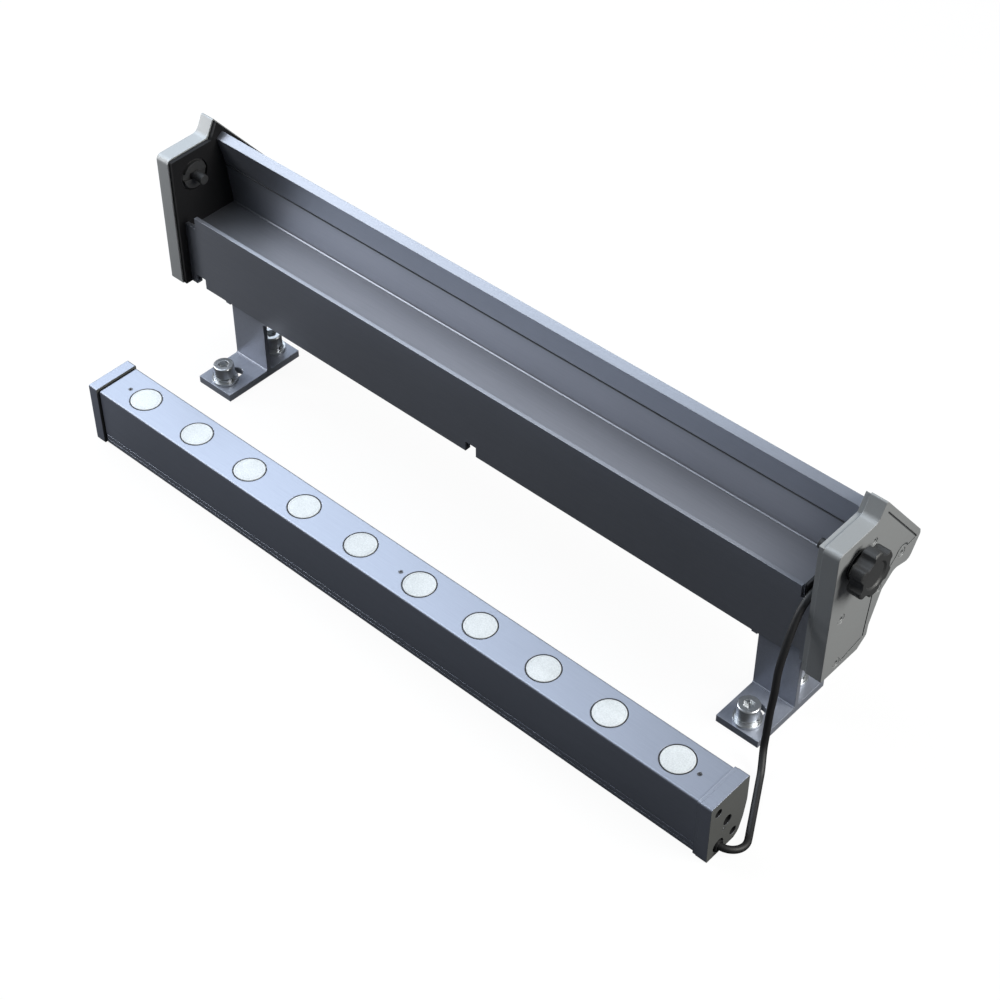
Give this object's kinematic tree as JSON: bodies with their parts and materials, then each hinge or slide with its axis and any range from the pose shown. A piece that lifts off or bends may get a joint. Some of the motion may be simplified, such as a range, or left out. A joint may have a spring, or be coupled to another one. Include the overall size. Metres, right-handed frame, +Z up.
{
  "type": "outdoor wall washer light",
  "caption": "Linear outdoor wall washer: a trough housing on two adjustable feet, with its lens bar taken out and laid in front on a thin cable.",
  "frame": {"origin": "on the floor, under the middle of the whole object without its cable", "axes": "+X along the housing towards the knob, +Y to its back, +Z up"},
  "size_m": [0.5222, 0.1759, 0.1518],
  "materials": {
    "dark_aluminium": "satin anodised, fine long grain",
    "plate_aluminium": "fine blasted and anodised",
    "cap_metal": "satin dark grey",
    "steel": "bright turned",
    "black_plastic": "fine grained",
    "black_rubber": "matt",
    "driver_metal": "plain",
    "white_board": "solder mask",
    "led": "resin",
    "frosted_lens": "frosted, fine prisms"
  },
  "bodies": {
    "housing": {"housing_base": "dark_aluminium", "rear_visor": "dark_aluminium", "left_end_plate": "plate_aluminium", "right_end_plate": "plate_aluminium", "left_end_seal": "black_rubber", "right_end_seal": "black_rubber", "left_plate_screws": "steel", "right_plate_screws": "steel", "left_pivot_bolt": "black_plastic", "knob_washer": "black_plastic", "left_foot": "dark_aluminium", "right_foot": "dark_aluminium", "left_saddle": "dark_aluminium", "right_saddle": "dark_aluminium", "left_anchor_screws": "steel", "right_anchor_screws": "steel", "left_anchor_washers": "steel", "right_anchor_washers": "steel", "left_clamp_screw": "steel", "right_clamp_screw": "steel", "driver": "driver_metal", "supply_gland": "black_plastic", "cable_grommet": "black_rubber", "cable": "black_rubber"},
    "couplings": {"left_coupling": "black_plastic", "right_coupling": "black_plastic"},
    "knob": {"knob": "black_plastic", "knob_stud": "black_plastic"},
    "light_bar": {"bar_profile": "dark_aluminium", "bar_bottom_cover": "dark_aluminium", "bar_left_cap": "cap_metal", "bar_right_cap": "cap_metal", "bar_left_seal": "black_rubber", "bar_right_seal": "black_rubber", "led_board": "white_board", "led_chips": "led", "lenses": "frosted_lens", "lens_rings": "black_rubber", "bar_top_screws": "steel", "bar_cap_screws": "black_plastic", "bar_cap_plugs": "steel", "bar_cable_gland": "black_rubber"}
  },
  "joints": [
    {"name": "tilt", "type": "hinge", "parent": "housing", "child": "couplings", "pos_m": [-0.00465, 0.027, 0.12435], "axis": [1, 0, 0], "range_deg": [-90, 90]},
    {"name": "knob_turn", "type": "hinge", "parent": "housing", "child": "knob", "pos_m": [0.25035, 0.027, 0.12435], "axis": [1, 0, 0], "continuous": true},
    {"name": "bar_lift", "type": "slide", "parent": "housing", "child": "light_bar", "axis": [0, 0, 1], "range_m": [0, 0.08], "deforming": ["cable"]}
  ]
}
